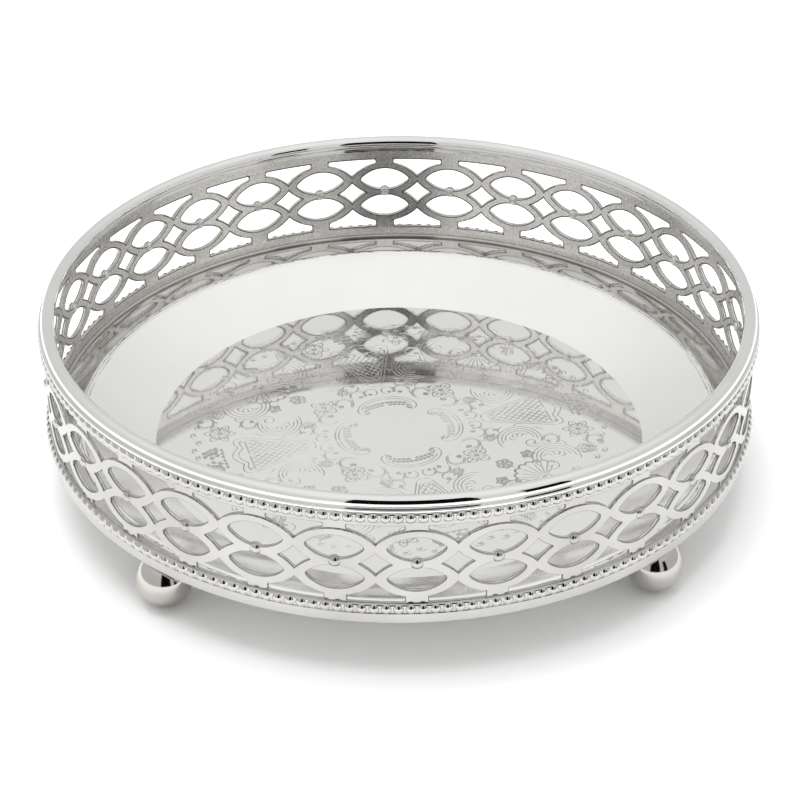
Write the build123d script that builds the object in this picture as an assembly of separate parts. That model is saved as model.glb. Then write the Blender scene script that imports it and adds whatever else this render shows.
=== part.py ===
"""Offering plate: a round footed tray with a pierced gallery, in silver-plated brass.

Millimetres, +Z up. The origin is on the ground, under the centre of the plate.
Azimuths are in degrees about +Z, from the front (-Y) towards +X.
"""

from build123d import *
import math
import os

# Driving dimensions
OVERALL_R = 125.0          # over the beads
SHEET = 1.0                # thickness of the dish and of the gallery strip

# Rim
RIM_OUTSIDE_R = 123.7
RIM_TUBE_R = 2.4
RIM_TOP_Z = 67.9
OUTER_COLLAR_STEPS = ((123.85, 62.9), (124.6, 63.5))   # (radius, underside) of each step
OUTER_COLLAR_TOP_Z = 64.4
INNER_COLLAR_STEPS = ((121.5, 61.3), (120.9, 62.2))
TUBE_CLEARANCE = 0.06      # between the collars and the rim tube

# Dish
FLOOR_TOP_Z = 10.95
FLOOR_R = 87.1             # flat bottom of the dish
COVE_OUT_R = 111.6         # top of the curved wall of the dish
COVE_TOP_Z = 21.0
COVE_SAGITTA = 0.5
SHOULDER_OUT_R = 114.5     # outer foot of the rounded shoulder
SHOULDER_OUT_Z = 21.1
SHOULDER_SAGITTA = 0.7
LEDGE_OUT_R = 122.1
LEDGE_OUT_Z = 23.4
LEDGE_EDGE = 1.1           # thickness at the outer edge of the ledge
UNDER_SHOULDER_OUT, UNDER_COVE_OUT, UNDER_FLOOR_OUT = 0.4, 0.6, 0.2   # beyond the upper corners
LEDGE_WIRE_R = 0.6

# Gallery
COLUMNS = 30
SECTIONS = 6
GALLERY_OUT_R = 123.1
GALLERY_BOTTOM_Z = 24.4
GALLERY_TOP_Z = 63.2
RAISED_BAND = 0.5          # the ring bands stand proud of the plain strips
RING_BOTTOM_Z, RING_TOP_Z = 30.5, 56.0
OPENINGS_BOTTOM_Z, OPENINGS_TOP_Z = 28.25, 57.5
UPPER_OVAL_Z, LOWER_OVAL_Z = 49.0, 37.5
OVAL_HALF_WIDTH, OVAL_HALF_HEIGHT = 9.6, 4.5
V_TIP_Z, V_HALF_WIDTH = 50.5, 9.1
DIAMOND_TOP_Z, DIAMOND_BOTTOM_Z, DIAMOND_HALF_WIDTH = 47.4, 38.9, 5.3
TRIANGLE_TIP_Z, TRIANGLE_HALF_WIDTH = 35.8, 8.9
V_BOW, DIAMOND_BOW = 0.45, 0.3   # of the sides, inwards

# Studs where an upper ring meets a lower ring
STUD_Z = 43.5
STUD_SHANK_R = 0.9
STUD_HEAD_R, STUD_HEAD_HEIGHT = 1.95, 1.0
STUD_BACK_R, STUD_BACK_HEIGHT = 1.7, 0.4

# Borders
BEADS = 200
BEAD_CURVE_R = 2.1                     # of the sphere that each low bead is a slice of
UPPER_BEAD_Z = 61.1
LOWER_BEAD_Z = 26.15
WEB_THICKNESS, WEB_HEIGHT = 1.0, 3.5   # of the wire between the beads
BEAD_SINK = 0.1                        # of a bead into the wire, so that they fuse
BASE_BAND_OUT_R = 123.8
BASE_BAND_BOTTOM_Z = 20.1
BASE_BAND_ROUND = 0.7

# Feet
FOOT_BALL_R = 9.5
FOOT_CIRCLE_R = 115.2
FOOT_AZIMUTHS = (45, 135, 225, 315)
FOOT_PEG_R = 2.0
FOOT_PEG_BOTTOM_Z = 11.0
FOOT_CUP_R = 4.6
FOOT_PEG_TOP_Z = 21.0      # inside the thickness of the ledge
FOOT_CUP_TOP_Z = 22.9      # before the ledge cuts it off

# Worked out
ON_BASE = (Align.CENTER, Align.CENTER, Align.MIN)
PITCH = 360 / COLUMNS
SECTION_ANGLE = 360 / SECTIONS
COLUMNS_PER_SECTION = COLUMNS // SECTIONS
GALLERY_IN_R = GALLERY_OUT_R - SHEET
RAISED_R = GALLERY_OUT_R + RAISED_BAND
RIM_CENTRE_R = RIM_OUTSIDE_R - RIM_TUBE_R
RIM_CENTRE_Z = RIM_TOP_Z - RIM_TUBE_R


def turned(section, angle=360.0):
    """Revolve a section, drawn in (radius, z), about +Z."""
    return revolve(Plane.XZ * section, Axis.Z, angle)


def ring(points):
    """A plain turned ring from the (radius, z) corners of its section."""
    return turned(make_face(Polyline(*points, close=True)))


def spin(shape, azimuth):
    return Rot(0, 0, azimuth) * shape


# Dish

def dish():
    """Flat floor, concave cove, rounded shoulder and a ledge that rises to the gallery."""
    under_floor_z = FLOOR_TOP_Z - SHEET
    upper = [
        Line((0, FLOOR_TOP_Z), (FLOOR_R, FLOOR_TOP_Z)),
        SagittaArc((FLOOR_R, FLOOR_TOP_Z), (COVE_OUT_R, COVE_TOP_Z), -COVE_SAGITTA),
        SagittaArc((COVE_OUT_R, COVE_TOP_Z), (SHOULDER_OUT_R, SHOULDER_OUT_Z), SHOULDER_SAGITTA),
        Line((SHOULDER_OUT_R, SHOULDER_OUT_Z), (LEDGE_OUT_R, LEDGE_OUT_Z)),
    ]
    under_ledge = (LEDGE_OUT_R, LEDGE_OUT_Z - LEDGE_EDGE)
    under_shoulder = (SHOULDER_OUT_R + UNDER_SHOULDER_OUT, SHOULDER_OUT_Z - SHEET)
    under_cove = (COVE_OUT_R + UNDER_COVE_OUT, COVE_TOP_Z - SHEET)
    under_floor = (FLOOR_R + UNDER_FLOOR_OUT, under_floor_z)
    lower = [
        Line((LEDGE_OUT_R, LEDGE_OUT_Z), under_ledge),
        Line(under_ledge, under_shoulder),
        Line(under_shoulder, under_cove),
        SagittaArc(under_cove, under_floor, COVE_SAGITTA),
        Line(under_floor, (0, under_floor_z)),
        Line((0, under_floor_z), (0, FLOOR_TOP_Z)),
    ]
    return turned(make_face(Wire(upper + lower)))


# Gallery

def bowed_outline(corners, bows):
    """A closed outline whose sides bow inwards, each by its own amount."""
    middle_x = sum(x for x, _ in corners) / len(corners)
    middle_z = sum(z for _, z in corners) / len(corners)
    sides = []
    for i, bow in enumerate(bows):
        (x0, z0), (x1, z1) = corners[i], corners[(i + 1) % len(corners)]
        if bow == 0:
            sides.append(Line((x0, z0), (x1, z1)))
            continue
        mid_x, mid_z = (x0 + x1) / 2, (z0 + z1) / 2
        reach = math.hypot(middle_x - mid_x, middle_z - mid_z)
        via = (mid_x + bow * (middle_x - mid_x) / reach, mid_z + bow * (middle_z - mid_z) / reach)
        sides.append(ThreePointArc((x0, z0), via, (x1, z1)))
    return make_face(Wire(sides))


def pointed_oval(middle_z):
    """The opening inside a ring."""
    left, right = (-OVAL_HALF_WIDTH, middle_z), (OVAL_HALF_WIDTH, middle_z)
    top = ThreePointArc(left, (0, middle_z + OVAL_HALF_HEIGHT), right)
    bottom = ThreePointArc(right, (0, middle_z - OVAL_HALF_HEIGHT), left)
    return make_face(Wire([top, bottom]))


def side_openings():
    """The V, the diamond and the lower triangle between two columns."""
    top, bottom = OPENINGS_TOP_Z, OPENINGS_BOTTOM_Z
    upper_v = bowed_outline(
        [(-V_HALF_WIDTH, top), (V_HALF_WIDTH, top), (0, V_TIP_Z)], [0, V_BOW, V_BOW])
    diamond_middle_z = (DIAMOND_TOP_Z + DIAMOND_BOTTOM_Z) / 2
    diamond = bowed_outline(
        [(0, DIAMOND_TOP_Z), (DIAMOND_HALF_WIDTH, diamond_middle_z),
         (0, DIAMOND_BOTTOM_Z), (-DIAMOND_HALF_WIDTH, diamond_middle_z)], [DIAMOND_BOW] * 4)
    lower_triangle = bowed_outline(
        [(-TRIANGLE_HALF_WIDTH, bottom), (0, TRIANGLE_TIP_Z), (TRIANGLE_HALF_WIDTH, bottom)],
        [V_BOW, V_BOW, 0])
    return [upper_v, diamond, lower_triangle]


def radial_plane(azimuth, radius):
    """Faces outwards at an azimuth, with its x along the gallery and its y up."""
    a = math.radians(azimuth)
    outward = Vector(math.sin(a), -math.cos(a), 0)
    return Plane(origin=outward * radius, x_dir=(math.cos(a), math.sin(a), 0), z_dir=outward)


def radial_cut(sketch, azimuth):
    inside_r, outside_r = GALLERY_IN_R - 4, RAISED_R + 4
    return extrude(radial_plane(azimuth, inside_r) * sketch, outside_r - inside_r)


def gallery_section():
    """One stamped length of the gallery, centred on azimuth 0, ending on column boundaries."""
    section = make_face(Polyline(
        (GALLERY_IN_R, GALLERY_BOTTOM_Z), (GALLERY_OUT_R, GALLERY_BOTTOM_Z),
        (GALLERY_OUT_R, RING_BOTTOM_Z), (RAISED_R, RING_BOTTOM_Z),
        (RAISED_R, RING_TOP_Z), (GALLERY_OUT_R, RING_TOP_Z),
        (GALLERY_OUT_R, GALLERY_TOP_Z), (GALLERY_IN_R, GALLERY_TOP_Z), close=True))
    strip = spin(turned(section, SECTION_ANGLE), -90 - SECTION_ANGLE / 2)
    half = COLUMNS_PER_SECTION // 2
    cuts = []
    for column in range(-half, half + 1):
        azimuth = column * PITCH
        for oval_z in (UPPER_OVAL_Z, LOWER_OVAL_Z):
            cuts.append(radial_cut(pointed_oval(oval_z), azimuth))
        cuts.append(radial_cut(Pos(0, STUD_Z) * Circle(STUD_SHANK_R), azimuth))
    for boundary in range(COLUMNS_PER_SECTION + 1):
        azimuth = boundary * PITCH - SECTION_ANGLE / 2
        for opening in side_openings():
            cuts.append(radial_cut(opening, azimuth))
    return strip - cuts


def gallery_stud(azimuth):
    """A domed rivet through the meeting point of an upper and a lower ring."""
    back_r = GALLERY_IN_R - 0.02
    grip = RAISED_R - back_r
    dome_r = (STUD_HEAD_R**2 + STUD_HEAD_HEIGHT**2) / (2 * STUD_HEAD_HEIGHT)
    in_front = Box(4 * STUD_HEAD_R, 4 * STUD_HEAD_R, 2 * dome_r, align=ON_BASE)
    dome = Pos(0, 0, STUD_HEAD_HEIGHT - dome_r) * Sphere(dome_r) & in_front
    shank = Pos(0, 0, -grip) * Cylinder(STUD_SHANK_R, grip, align=ON_BASE)
    back = Pos(0, 0, -grip - STUD_BACK_HEIGHT) * Cylinder(STUD_BACK_R, STUD_BACK_HEIGHT, align=ON_BASE)
    stud = dome + shank + back
    return spin(Pos(0, -RAISED_R, STUD_Z) * Rot(90, 0, 0) * stud, azimuth)


# Borders and rim

def beaded_wire(middle_z):
    """A flat-backed wire with a row of low round beads, soldered to the gallery strip.

    The wire between the beads has one flat facet for each bead.
    """
    facets = [RegularPolygon(GALLERY_OUT_R + depth, BEADS, major_radius=False)
              for depth in (WEB_THICKNESS, 0)]
    web = Pos(0, 0, middle_z - WEB_HEIGHT / 2) * extrude(facets[0] - facets[1], WEB_HEIGHT)
    size = 3 * BEAD_CURVE_R
    in_front = Box(size, size, size, align=(Align.CENTER, Align.MAX, Align.CENTER))
    centre_depth = OVERALL_R - BEAD_CURVE_R - GALLERY_OUT_R
    bead = Pos(0, -centre_depth, 0) * Sphere(BEAD_CURVE_R)
    bead = bead & Pos(0, BEAD_SINK - WEB_THICKNESS, 0) * in_front
    bead = Pos(0, -GALLERY_OUT_R, middle_z) * bead
    return web + [spin(bead, (i + 0.5) * 360 / BEADS) for i in range(BEADS)]


def rim_tube():
    return turned(Pos(RIM_CENTRE_R, RIM_CENTRE_Z) * Circle(RIM_TUBE_R))


def beside_tube_r(z):
    """Radius just outside the rim tube at a height."""
    reach = RIM_TUBE_R + TUBE_CLEARANCE
    return RIM_CENTRE_R + math.sqrt(reach**2 - (z - RIM_CENTRE_Z)**2)


def under_tube_z(radius):
    """Height just below the rim tube at a radius."""
    reach = RIM_TUBE_R + TUBE_CLEARANCE
    return RIM_CENTRE_Z - math.sqrt(reach**2 - (radius - RIM_CENTRE_R)**2)


def rim_collar_outer():
    """A two-stepped moulding that fills the corner outside the gallery, under the rim tube."""
    (middle_r, bottom_z), (edge_r, step_z) = OUTER_COLLAR_STEPS
    return ring([
        (GALLERY_OUT_R, bottom_z), (middle_r, bottom_z), (middle_r, step_z),
        (edge_r, step_z), (edge_r, OUTER_COLLAR_TOP_Z),
        (beside_tube_r(OUTER_COLLAR_TOP_Z), OUTER_COLLAR_TOP_Z),
        (GALLERY_OUT_R, under_tube_z(GALLERY_OUT_R))])


def rim_collar_inner():
    """A two-stepped moulding inside the gallery, under the rim tube."""
    (middle_r, bottom_z), (edge_r, step_z) = INNER_COLLAR_STEPS
    return ring([
        (GALLERY_IN_R, bottom_z), (middle_r, bottom_z), (middle_r, step_z), (edge_r, step_z),
        (edge_r, under_tube_z(edge_r)), (middle_r, under_tube_z(middle_r)),
        (GALLERY_IN_R, under_tube_z(GALLERY_IN_R))])


def base_band():
    """The plain band around the foot of the gallery."""
    section = make_face(Polyline(
        (LEDGE_OUT_R, BASE_BAND_BOTTOM_Z), (BASE_BAND_OUT_R, BASE_BAND_BOTTOM_Z),
        (BASE_BAND_OUT_R, GALLERY_BOTTOM_Z), (LEDGE_OUT_R, GALLERY_BOTTOM_Z), close=True))
    outer_corners = section.vertices().sort_by(Axis.X)[-2:]
    return turned(fillet(outer_corners, BASE_BAND_ROUND))


def ledge_wire():
    """A round wire that hides the corner between the ledge and the gallery."""
    slope = math.atan2(LEDGE_OUT_Z - SHOULDER_OUT_Z, LEDGE_OUT_R - SHOULDER_OUT_R)
    centre_r = GALLERY_IN_R - LEDGE_WIRE_R
    rise = (centre_r - SHOULDER_OUT_R) * math.tan(slope)
    centre_z = SHOULDER_OUT_Z + rise + LEDGE_WIRE_R / math.cos(slope)
    return turned(Pos(centre_r, centre_z) * Circle(LEDGE_WIRE_R))


# Feet

def under_dish(shape, body):
    """What is left of a shape below the dish."""
    return (shape - body).solids().sort_by(Axis.Z)[0]


def foot(body):
    """A ball, the peg that joins it to the ledge, and the cup soldered round the peg."""
    at_foot = Pos(0, -FOOT_CIRCLE_R, 0)
    peg = Cylinder(FOOT_PEG_R, FOOT_PEG_TOP_Z - FOOT_PEG_BOTTOM_Z, align=ON_BASE)
    peg = at_foot * Pos(0, 0, FOOT_PEG_BOTTOM_Z) * peg
    ball = at_foot * Pos(0, 0, FOOT_BALL_R) * Sphere(FOOT_BALL_R) - peg
    cup = Cylinder(FOOT_CUP_R, FOOT_CUP_TOP_Z - FOOT_BALL_R, align=ON_BASE)
    cup = at_foot * Pos(0, 0, FOOT_BALL_R) * cup
    solid_ball = at_foot * Pos(0, 0, FOOT_BALL_R) * Sphere(FOOT_BALL_R)
    cup = under_dish(cup - solid_ball - peg, body)
    return {"ball": ball, "peg": under_dish(peg, body), "cup": cup}


def build():
    nodes = {"dish": dish()}
    section = gallery_section()
    for k in range(SECTIONS):
        nodes[f"gallery_section_{k + 1}"] = spin(section, k * SECTION_ANGLE)
    nodes["gallery_studs"] = Compound([gallery_stud(i * PITCH) for i in range(COLUMNS)])
    nodes["rim_tube"] = rim_tube()
    nodes["rim_collar_outer"] = rim_collar_outer()
    nodes["rim_collar_inner"] = rim_collar_inner()
    nodes["upper_beaded_wire"] = beaded_wire(UPPER_BEAD_Z)
    nodes["lower_beaded_wire"] = beaded_wire(LOWER_BEAD_Z)
    nodes["base_band"] = base_band()
    nodes["ledge_wire"] = ledge_wire()
    pieces = foot(nodes["dish"])
    for i, azimuth in enumerate(FOOT_AZIMUTHS, start=1):
        for name, piece in pieces.items():
            nodes[f"foot_{name}_{i}"] = spin(piece, azimuth)
    return nodes


os.makedirs("parts", exist_ok=True)
for node, shape in build().items():
    export_step(shape, f"parts/{node}.step")
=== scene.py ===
"""Offering plate in polished silver plate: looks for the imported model, in metres, +Z up.

Sizes below are in millimetres and become metres in add_mesh. Azimuths run about +Z
from the front (-Y) towards +X.
"""

import math

import bmesh
import bpy
import numpy as np
from mathutils import Matrix, Vector
from mathutils.geometry import delaunay_2d_cdt


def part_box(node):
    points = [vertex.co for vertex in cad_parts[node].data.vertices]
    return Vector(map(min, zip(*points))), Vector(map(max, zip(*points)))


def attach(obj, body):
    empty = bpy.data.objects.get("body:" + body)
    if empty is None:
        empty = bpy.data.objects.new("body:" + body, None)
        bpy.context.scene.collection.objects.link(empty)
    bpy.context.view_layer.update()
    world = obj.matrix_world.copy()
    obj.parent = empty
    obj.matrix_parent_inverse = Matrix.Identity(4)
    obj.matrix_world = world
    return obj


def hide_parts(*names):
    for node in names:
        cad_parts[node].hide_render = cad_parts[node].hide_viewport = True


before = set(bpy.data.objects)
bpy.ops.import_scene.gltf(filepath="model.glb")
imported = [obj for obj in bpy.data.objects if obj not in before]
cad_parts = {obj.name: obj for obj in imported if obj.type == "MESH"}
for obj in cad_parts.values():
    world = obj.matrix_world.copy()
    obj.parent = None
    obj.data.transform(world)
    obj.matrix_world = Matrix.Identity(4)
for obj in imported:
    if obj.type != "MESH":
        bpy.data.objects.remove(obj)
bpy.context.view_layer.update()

MM = 0.001
BODY = "root"


def node_box(node):
    """Lowest and highest corner of a CAD node, in millimetres."""
    low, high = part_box(node)
    return np.array(low) / MM, np.array(high) / MM


# Sizes that the frame holds
rim_low, rim_high = node_box("rim_tube")
RIM_OUTSIDE_R = rim_high[0]
RIM_TUBE_R = (rim_high[2] - rim_low[2]) / 2
RIM_CENTRE_R = RIM_OUTSIDE_R - RIM_TUBE_R
RIM_CENTRE_Z = rim_high[2] - RIM_TUBE_R
gallery_low, gallery_high = node_box("gallery_section_1")
GALLERY_BOTTOM_Z, GALLERY_TOP_Z = gallery_low[2], gallery_high[2]
ball_low, ball_high = node_box("foot_ball_1")
FOOT_BALL_R = (ball_high[0] - ball_low[0]) / 2

# Sizes shared with the CAD model
SHEET = 1.0
FLOOR_R, FLOOR_TOP_Z = 87.1, 10.95
COVE_OUT_R, COVE_TOP_Z, COVE_SAGITTA = 111.6, 21.0, 0.5
SHOULDER_OUT_R, SHOULDER_OUT_Z, SHOULDER_SAGITTA = 114.5, 21.1, 0.7
LEDGE_OUT_R, LEDGE_OUT_Z, LEDGE_EDGE = 122.1, 23.4, 1.1
UNDER_SHOULDER_OUT, UNDER_COVE_OUT, UNDER_FLOOR_OUT = 0.4, 0.6, 0.2   # beyond the upper corners
GALLERY_OUT_R = 123.1
GALLERY_IN_R = GALLERY_OUT_R - SHEET
RAISED_BAND = 0.5
COLUMNS, SECTIONS = 30, 6
COLUMNS_PER_SECTION = COLUMNS // SECTIONS
STUD_Z, STUD_HEAD_R, STUD_HEAD_HEIGHT = 43.5, 1.95, 1.0
STUD_BACK_R, STUD_BACK_HEIGHT = 1.7, 0.4
OUTER_COLLAR_STEP_OUT, OUTER_COLLAR_STEP_HEIGHT = 0.75, 0.6
INNER_COLLAR_EDGE_R, INNER_COLLAR_STEP_OUT, INNER_COLLAR_STEP_HEIGHT = 120.9, 0.6, 0.9
BEADS, BEAD_CURVE_R, BEAD_OUT_R = 200, 2.1, 125.0
UPPER_BEAD_Z, LOWER_BEAD_Z = 61.1, 26.15
WEB_THICKNESS, WEB_HEIGHT = 1.0, 3.5        # of the flat wire behind the beads
BASE_BAND_OUT_R, BASE_BAND_BOTTOM_Z = 123.8, 20.1

SEGMENTS = 360             # of every turned piece
SINK = 0.2                 # how far mouldings reach into the gallery, so that no gap shows


# Mesh helpers

def add_mesh(name, vertices, faces, materials, face_slots=None, loop_normals=None, sharp_over=None):
    """A piece from points in millimetres, riding on the plate."""
    mesh = bpy.data.meshes.new(name)
    mesh.from_pydata((np.asarray(vertices, float) * MM).tolist(), [], faces)
    for material in materials:
        mesh.materials.append(material)
    if face_slots is not None:
        mesh.polygons.foreach_set("material_index", np.asarray(face_slots, np.int32))
    mesh.polygons.foreach_set("use_smooth", np.ones(len(mesh.polygons), bool))
    if loop_normals is not None:
        mesh.normals_split_custom_set(loop_normals)
    elif sharp_over is not None:
        mesh.set_sharp_from_angle(angle=math.radians(sharp_over))
    mesh.update()
    piece = bpy.data.objects.new(name, mesh)
    bpy.context.scene.collection.objects.link(piece)
    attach(piece, BODY)
    return piece


def bowed(start, end, sagitta, count=14):
    """Points along the arc from start to end that bows to the right of the way by sagitta."""
    (x0, y0), (x1, y1) = start, end
    chord = math.hypot(x1 - x0, y1 - y0)
    radius = (chord**2 / 4 + sagitta**2) / (2 * abs(sagitta))
    normal = np.array([y1 - y0, x0 - x1]) / chord * math.copysign(1, sagitta)
    middle = np.array([(x0 + x1) / 2, (y0 + y1) / 2])
    centre = middle - normal * (radius - abs(sagitta))
    first = math.atan2(y0 - centre[1], x0 - centre[0])
    turn = math.atan2(y1 - centre[1], x1 - centre[0]) - first
    turn = (turn + math.pi) % (2 * math.pi) - math.pi
    angles = first + turn * np.linspace(0, 1, count)
    return [(centre[0] + radius * math.cos(a), centre[1] + radius * math.sin(a)) for a in angles]


def lathe_mesh(profile, segments=SEGMENTS, closed=True):
    """Vertices and faces of a profile of (radius, z) points turned about +Z."""
    profile = np.array(profile, float)
    rows = len(profile)
    angles = np.arange(segments) * 2 * math.pi / segments
    radius = profile[:, 0][:, None]
    vertices = np.stack([radius * np.cos(angles), radius * np.sin(angles),
                         np.repeat(profile[:, 1][:, None], segments, 1)], -1).reshape(-1, 3)
    faces = []
    for row in range(rows if closed else rows - 1):
        low, high = row * segments, (row + 1) % rows * segments
        for i in range(segments):
            j = (i + 1) % segments
            faces.append((low + i, low + j, high + j, high + i))
    return vertices, faces


def lathe(name, profile, material, sharp_over=30, replaces=None):
    """A turned ring whose section is an anticlockwise profile in (radius, z)."""
    vertices, faces = lathe_mesh(profile)
    piece = add_mesh(name, vertices, faces, [material], sharp_over=sharp_over)
    if replaces:
        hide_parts(replaces)
    return piece


def circle(centre_r, centre_z, radius, count):
    """The section of a round wire or tube, as (radius, z) points."""
    turns = np.arange(count) * 2 * math.pi / count
    return [(centre_r + radius * math.cos(a), centre_z + radius * math.sin(a)) for a in turns]


def rounded_profile(corners, radii, step=12.0):
    """An anticlockwise outline whose corners are rounded, each by its own radius."""
    points = []
    for i, radius in enumerate(radii):
        before, corner, after = (np.array(corners[(i + k) % len(corners)], float) for k in (-1, 0, 1))
        if radius == 0:
            points.append(tuple(corner))
            continue
        back, ahead = before - corner, after - corner
        back /= np.linalg.norm(back)
        ahead /= np.linalg.norm(ahead)
        half = math.acos(np.clip(back @ ahead, -1, 1)) / 2
        reach = radius / math.tan(half)
        centre = corner + (back + ahead) / np.linalg.norm(back + ahead) * radius / math.sin(half)
        p, q = corner + back * reach, corner + ahead * reach
        first = math.atan2(*(p - centre)[::-1])
        turn = math.atan2(*(q - centre)[::-1]) - first
        turn = (turn + math.pi) % (2 * math.pi) - math.pi
        count = max(3, int(abs(math.degrees(turn)) / step) + 1)
        for a in first + turn * np.linspace(0, 1, count):
            points.append((centre[0] + radius * math.cos(a), centre[1] + radius * math.sin(a)))
    return points


# Materials

def node(tree, kind, **inputs):
    """A shader node with some inputs set."""
    made = tree.nodes.new(kind)
    for name, value in inputs.items():
        made.inputs[name.replace("_", " ")].default_value = value
    return made


def noise(tree, coordinates, scale, detail=4.0, roughness=0.5):
    """Noise values at the given coordinates."""
    made = node(tree, "ShaderNodeTexNoise", Scale=scale, Detail=detail, Roughness=roughness)
    tree.links.new(coordinates, made.inputs["Vector"])
    return made.outputs["Fac"]


def span(tree, value, low, high):
    """Spread a noise value, which is mostly from 0.3 to 0.7, over a range."""
    made = node(tree, "ShaderNodeMapRange", From_Min=0.3, From_Max=0.7, To_Min=low, To_Max=high)
    tree.links.new(value, made.inputs["Value"])
    return made.outputs["Result"]


def silver(name, tint, dull, roughness, rough_spread, grain_scale, grain_height, wave_height, clouding=35):
    """Silver plate: slight colour clouding, wiping marks in the gloss, and surface relief."""
    material = bpy.data.materials.new(name)
    material.use_nodes = True
    tree = material.node_tree
    shader = tree.nodes["Principled BSDF"]
    shader.inputs["Metallic"].default_value = 1.0
    place = tree.nodes.new("ShaderNodeTexCoord").outputs["Object"]

    clouds = span(tree, noise(tree, place, clouding, 5), 0.0, 1.0)
    colour = tree.nodes.new("ShaderNodeMix")
    colour.data_type = "RGBA"
    colour.inputs["A"].default_value = (*tint, 1)
    colour.inputs["B"].default_value = (*dull, 1)
    tree.links.new(clouds, colour.inputs["Factor"])
    tree.links.new(colour.outputs["Result"], shader.inputs["Base Color"])

    wipes = span(tree, noise(tree, place, 90, 6, 0.65), roughness, roughness + rough_spread)
    tree.links.new(wipes, shader.inputs["Roughness"])

    waves = node(tree, "ShaderNodeBump", Strength=1.0, Distance=wave_height)
    tree.links.new(noise(tree, place, 60, 2), waves.inputs["Height"])
    grain = node(tree, "ShaderNodeBump", Strength=1.0, Distance=grain_height)
    tree.links.new(noise(tree, place, grain_scale, 3, 0.6), grain.inputs["Height"])
    tree.links.new(waves.outputs["Normal"], grain.inputs["Normal"])
    tree.links.new(grain.outputs["Normal"], shader.inputs["Normal"])
    return material


# name, clean colour, dull colour, least roughness and its spread, then grain scale, grain height
# and wave height in metres, and for some the scale of the colour clouds
POLISHED = silver("polished_silver", (0.86, 0.857, 0.845), (0.80, 0.795, 0.78), 0.03, 0.03,
                  4000, 2e-7, 4e-6)
# painted shade: this front colour is darkened to stand in for the shadowed floor that the outer gallery
# faces, stud heads and base band mirror
GALLERY_FRONT = silver("gallery_silver", (0.56, 0.554, 0.54), (0.475, 0.469, 0.455), 0.14, 0.12,
                       2500, 3e-6, 1e-5)
GALLERY_BACK = silver("gallery_back_silver", (0.985, 0.975, 0.955), (0.76, 0.735, 0.70), 0.20, 0.12,
                      1500, 3e-5, 1e-5, 1100)
BEAD_SILVER = silver("bead_silver", (0.62, 0.612, 0.597), (0.53, 0.522, 0.507), 0.06, 0.06,
                     2500, 2e-6, 1e-5)
CUT_EDGE = silver("cut_edge_silver", (0.16, 0.155, 0.145), (0.06, 0.057, 0.052), 0.3, 0.2,
                  2500, 1e-5, 1e-5, 700)
CUT_MIDDLE = silver("cut_middle_silver", (0.88, 0.87, 0.84), (0.50, 0.49, 0.47), 0.25, 0.2,
                    2500, 1e-5, 1e-5, 300)
BORDER_LINE = silver("border_line_silver", (0.22, 0.21, 0.19), (0.04, 0.038, 0.034), 0.3, 0.2,
                     2500, 1e-5, 1e-5, 700)
FOOT_SILVER = silver("foot_silver", (0.60, 0.58, 0.55), (0.50, 0.48, 0.455), 0.07, 0.05,
                     2500, 1e-6, 8e-6)
LEDGE_SILVER = silver("ledge_silver", (0.66, 0.65, 0.63), (0.54, 0.53, 0.51), 0.05, 0.05,
                      4000, 2e-7, 4e-6)
COVE_SILVER = silver("cove_silver", (0.96, 0.955, 0.94), (0.92, 0.915, 0.90), 0.08, 0.04,
                     4000, 2e-7, 1e-6)
DISH_SILVER = silver("dish_silver", (0.93, 0.925, 0.91), (0.90, 0.895, 0.88), 0.035, 0.03,
                     4000, 2e-7, 4e-6)
ENGRAVED = silver("engraved_silver", (0.80, 0.795, 0.78), (0.44, 0.435, 0.42), 0.08, 0.12,
                  3000, 4e-6, 4e-6)


# Gallery

PITCH = 2 * math.pi * GALLERY_OUT_R / COLUMNS
HALF_PITCH = PITCH / 2
OVAL_MIDDLES = (49.0, 37.5)
OVAL_HALF_WIDTH, OVAL_HALF_HEIGHT = 9.6, 4.5
OPENINGS_BOTTOM_Z, OPENINGS_TOP_Z = 28.25, 57.5
V_TIP_Z, RINGS_TOP_Z = 50.5, 56.3
DIAMOND_TOP_Z, DIAMOND_BOTTOM_Z = 47.4, 38.9
DIAMOND_HALF_WIDTH, DIAMOND_BOW = 5.3, 0.3
TRIANGLE_TIP_Z, RINGS_BOTTOM_Z = 35.8, 30.2
NECK_HALF = 3.7            # of the metal between the rings and the plain strips
FLANGE = 0.5               # of plain sheet outside the raised band, at the necks
WEB_R = 1.9                # of the plain disc under each stud
CORNER = 0.6               # how softly the corners of the openings turn
OVAL_CORNER = 1.3
EDGE_ROUND = 0.3           # of the outer edges
BACK_EDGE = 0.6            # of the inner edges, as a share of that
LINE_END = 0.62            # the dark border line on the inner face ends this far from an opening
WALL_SPLIT = (0.24, 0.8)   # where the dark borders of a cut wall end
STEP_RUN = 0.14            # width of the slope at the side of a raised band
GRID_ACROSS, GRID_UP = 42, 127   # samples of the fields over half a column
BENDS = 8                  # flat strips that make half a column follow the circle
GALLERY_SLOTS = (GALLERY_FRONT, GALLERY_BACK, CUT_EDGE, CUT_MIDDLE, BORDER_LINE)
FACE_SLOT, BACK_SLOT, EDGE_SLOT, MIDDLE_SLOT, LINE_SLOT = range(len(GALLERY_SLOTS))


def beside_arc(u, z, start, end, bow):
    """Distance to the left of the arc from start to end that bows to the left by bow."""
    chord = math.dist(start, end)
    radius = (chord**2 / 4 + bow**2) / (2 * abs(bow))
    left = np.array([start[1] - end[1], end[0] - start[0]]) / chord
    centre = (np.array(start) + end) / 2 + left * (bow - math.copysign(radius, bow))
    return math.copysign(1, bow) * (np.hypot(u - centre[0], z - centre[1]) - radius)


def blend_max(a, b, width):
    """The larger of two fields, with a soft crossing."""
    overlap = np.maximum(width - np.abs(a - b), 0) / width
    return np.maximum(a, b) + overlap**2 * width / 4


def blend_min(a, b, width):
    """The smaller of two fields, with a soft crossing."""
    return -blend_max(-a, -b, width)


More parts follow.
